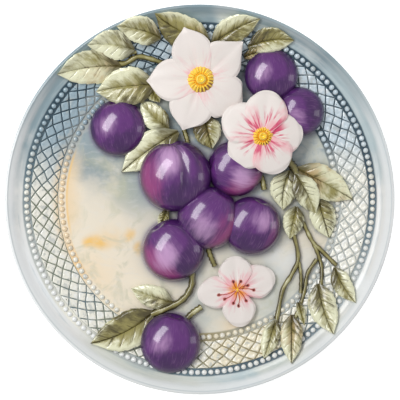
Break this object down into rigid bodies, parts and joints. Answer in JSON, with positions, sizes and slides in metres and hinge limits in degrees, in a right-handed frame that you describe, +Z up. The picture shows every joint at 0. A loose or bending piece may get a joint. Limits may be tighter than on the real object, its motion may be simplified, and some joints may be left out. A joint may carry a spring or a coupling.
{
  "type": "decorative wall plate",
  "caption": "Round glazed ceramic wall plate with plums, blossoms and leaves in high relief, a latticed and beaded border, and a foot ring with wire holes.",
  "frame": {"origin": "middle of the foot ring, on the surface that the plate lies on", "axes": "+Z up out of the plate's face, +Y towards the top of the plate as it hangs, +X to the right"},
  "size_m": [0.25, 0.25, 0.0331],
  "materials": {
    "dish_glaze": "glossy hand-painted glaze, grey-blue over cream",
    "plum_glaze": "glossy hand-painted purple glaze",
    "leaf_glaze": "glossy hand-painted olive and cream glaze",
    "petal_glaze": "glossy white glaze with pink brush strokes",
    "flower_heart_glaze": "glossy yellow glaze"
  },
  "bodies": {
    "root": {"plate": "dish_glaze"}
  },
  "joints": []
}
